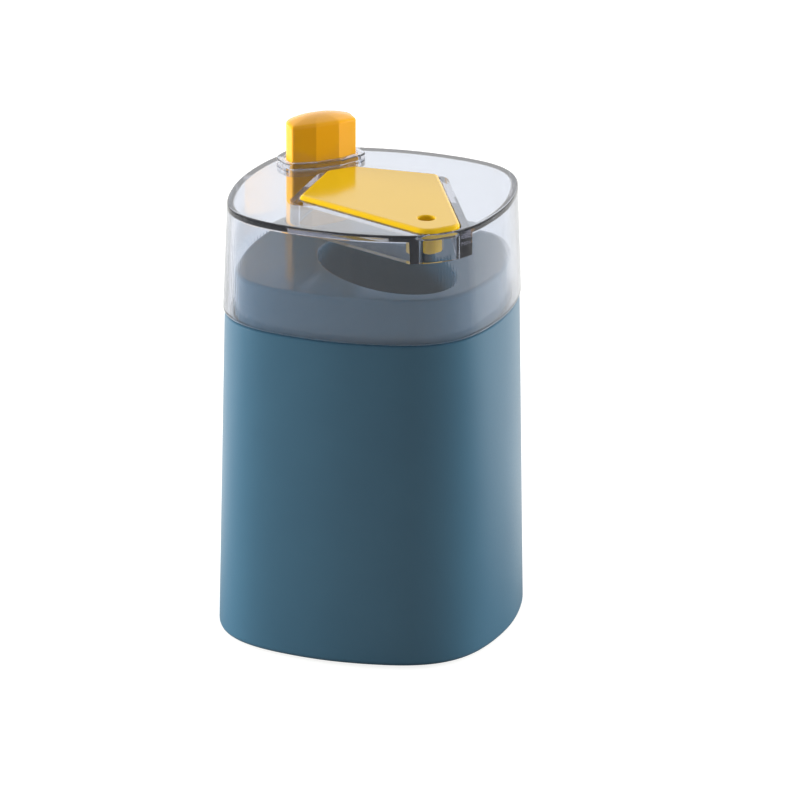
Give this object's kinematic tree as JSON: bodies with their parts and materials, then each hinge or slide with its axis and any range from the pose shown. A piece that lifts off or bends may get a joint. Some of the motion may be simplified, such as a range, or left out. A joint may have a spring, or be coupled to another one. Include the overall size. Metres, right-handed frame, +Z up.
{
  "type": "toothpick dispenser",
  "caption": "Rounded-square table dispenser that lifts one toothpick through a hole in its clear lid when the corner button is pressed.",
  "frame": {"origin": "on the floor under the middle of the base", "axes": "+Z up; the sides lie along X and Y and the front faces -Y; the button is in the (-X,+Y) corner and the outlet in the (+X,-Y) corner"},
  "size_m": [0.06, 0.06, 0.1006],
  "materials": {
    "blue_plastic": "satin moulded grey-blue",
    "yellow_plastic": "gloss moulded amber yellow",
    "smoke_clear_plastic": "polished clear with a light smoke tint",
    "white_plastic": "natural white moulded",
    "steel": "plain wire and pin stock",
    "rubber": "matt"
  },
  "bodies": {
    "base": {"body_shell": "blue_plastic", "base_plate": "blue_plastic", "base_screw_1": "steel", "base_screw_2": "steel", "base_screw_3": "steel", "base_screw_4": "steel", "foot_pad_1": "rubber", "foot_pad_2": "rubber", "foot_pad_3": "rubber", "foot_pad_4": "rubber", "hopper": "blue_plastic", "pivot_pin": "steel", "return_spring": "steel"},
    "plunger": {"push_button": "yellow_plastic", "push_rod": "white_plastic", "rod_pin": "steel"},
    "rocker": {"rocker_lever": "white_plastic"},
    "lifter": {"lifter_pin": "white_plastic", "lifter_cross_pin": "steel"},
    "lid": {"lid_shell": "smoke_clear_plastic", "outlet_plate": "yellow_plastic"}
  },
  "joints": [
    {"name": "button_press", "type": "slide", "parent": "base", "child": "plunger", "axis": [0, 0, -1], "range_m": [0, 0.0065], "stiffness_N_per_m": 400, "springref_m": -0.008, "deforming": ["return_spring"]},
    {"name": "rocker_pivot", "type": "hinge", "parent": "base", "child": "rocker", "pos_m": [-0.00427, 0.00427, 0.01185], "axis": [-0.7071, -0.7071, 0], "range_deg": [0, 20.85]},
    {"name": "lifter_rise", "type": "slide", "parent": "base", "child": "lifter", "axis": [0, 0, 1], "range_m": [0, 0.0105]},
    {"name": "lid_lift", "type": "slide", "parent": "base", "child": "lid", "axis": [0, 0, 1], "range_m": [0, 0.03]}
  ],
  "couplings": [
    {"joint": "rocker_pivot", "follows": "button_press", "rad_per_m": 55.985},
    {"joint": "lifter_rise", "follows": "button_press", "ratio": 1.6152}
  ]
}
